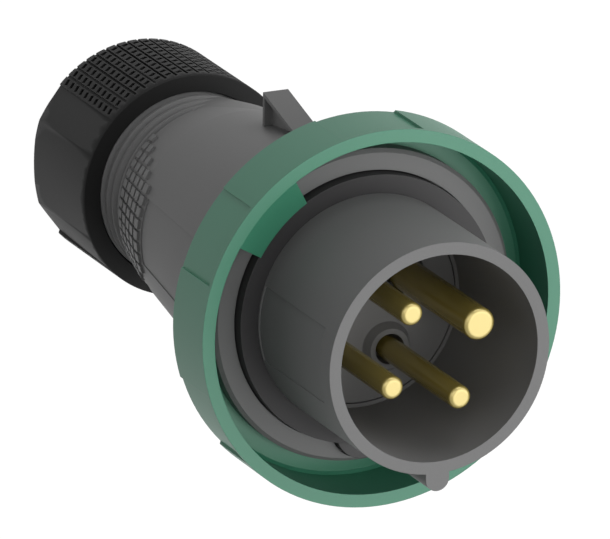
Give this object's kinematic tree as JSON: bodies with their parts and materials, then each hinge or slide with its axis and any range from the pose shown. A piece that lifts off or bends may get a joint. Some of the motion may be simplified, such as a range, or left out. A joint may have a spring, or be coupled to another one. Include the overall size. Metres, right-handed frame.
{
  "type": "pin and sleeve plug",
  "caption": "Round industrial pin and sleeve plug with a bayonet coupling ring, tapered housing and screwed cable gland.",
  "frame": {"origin": "on the plug's axis, at the flat rear end of the gland nut", "axes": "+Z along the plug's axis toward the open end of the sleeve, -Y toward the key, +X toward 3 o'clock seen from the front"},
  "size_m": [0.082, 0.082, 0.151],
  "materials": {
    "grey_plastic": "fine matt moulding",
    "insert_plastic": "fine matt moulding",
    "green_plastic": "fine matt moulding",
    "black_plastic": "fine matt moulding",
    "black_rubber": "matt",
    "brass": "turned, semi-bright",
    "steel": "zinc plated"
  },
  "bodies": {
    "housing": {"front_sleeve": "grey_plastic", "rear_housing": "grey_plastic", "contact_insert": "insert_plastic", "pin_retainer": "insert_plastic", "retainer_screws": "steel", "earth_pin": "brass", "phase_pin_1": "brass", "phase_pin_2": "brass", "phase_pin_3": "brass", "earth_terminal_screw": "steel", "phase_terminal_screws": "steel", "flange_gasket": "black_rubber", "housing_seal": "black_rubber", "cable_seal": "black_rubber", "clamp_basket": "black_plastic"},
    "bayonet": {"coupling_ring": "green_plastic"},
    "clamp": {"thrust_ring": "black_plastic"},
    "gland": {"gland_nut": "black_plastic"}
  },
  "joints": [
    {"name": "ring_turn", "type": "hinge", "parent": "housing", "child": "bayonet", "pos_m": [0, 0, 0.109], "axis": [0, 0, 1], "range_deg": [0, 40]},
    {"name": "nut_travel", "type": "slide", "parent": "housing", "child": "clamp", "axis": [0, 0, 1], "range_m": [-0.0062, 0]},
    {"name": "nut_turn", "type": "hinge", "parent": "clamp", "child": "gland", "pos_m": [0, 0, 0.014], "axis": [0, 0, 1], "range_deg": [-720, 0]}
  ],
  "couplings": [
    {"joint": "nut_travel", "follows": "nut_turn", "m_per_rad": 0.00049338}
  ]
}
